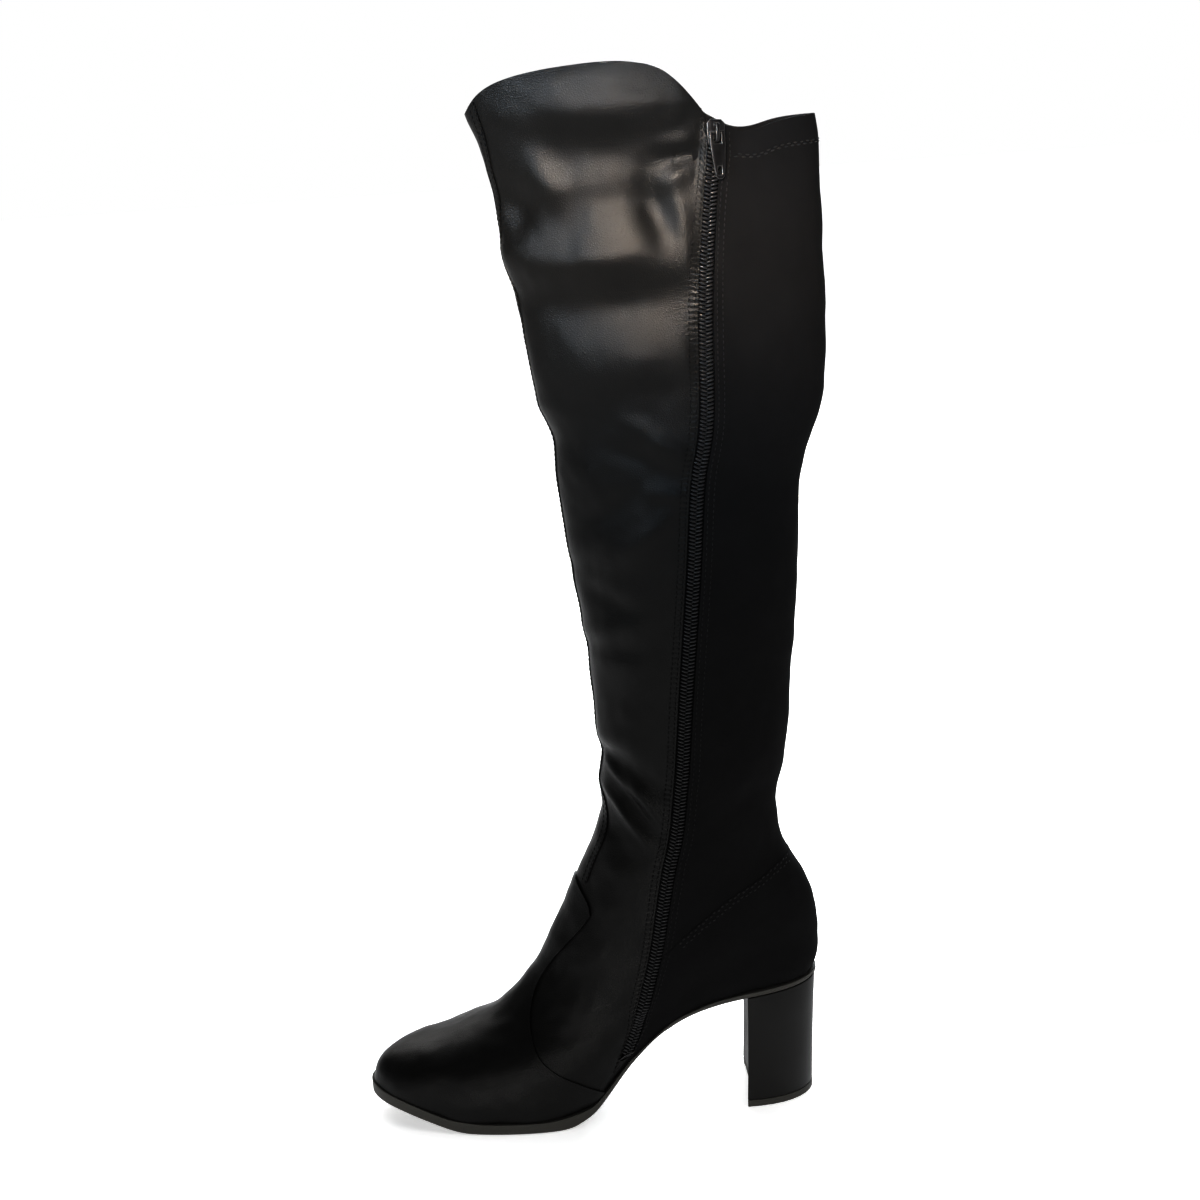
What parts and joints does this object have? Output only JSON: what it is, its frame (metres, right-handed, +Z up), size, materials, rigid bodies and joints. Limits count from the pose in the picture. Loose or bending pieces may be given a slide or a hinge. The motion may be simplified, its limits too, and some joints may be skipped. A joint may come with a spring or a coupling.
{
  "type": "knee-high boot",
  "caption": "Right knee-high boot with a block heel, leather front, fabric back and heel counter, and a full-length inner zip with a hinged pull tab.",
  "frame": {"origin": "on the floor under the centre of the boot's bounding box, standing on its sole", "axes": "+Z up the leg, -X towards the toe, -Y towards the inner side with the zip"},
  "size_m": [0.2682, 0.087, 0.5544],
  "materials": {
    "leather": "smooth coated leather, fine grain, satin gloss",
    "stretch_fabric": "matte stretch fabric",
    "sole_rubber": "moulded, matte",
    "lining": "brushed textile lining",
    "zip_nylon": "glossy nylon coil",
    "dark_metal": "dark lacquered metal"
  },
  "bodies": {
    "boot": {"upper": "leather", "vamp": "leather", "counter": "stretch_fabric", "insole": "lining", "outsole": "sole_rubber", "heel": "sole_rubber", "top_piece": "sole_rubber", "zip_tape": "stretch_fabric", "zip_chain": "zip_nylon", "zip_stop": "dark_metal", "zip_slider": "dark_metal"},
    "pull_tab": {"zip_pull": "dark_metal"}
  },
  "joints": [
    {"name": "pull_swing", "type": "hinge", "parent": "boot", "child": "pull_tab", "pos_m": [0.08221, -0.03129, 0.51878], "axis": [-0.9583, -0.2856, -0.0092], "range_deg": [0, 165]}
  ]
}
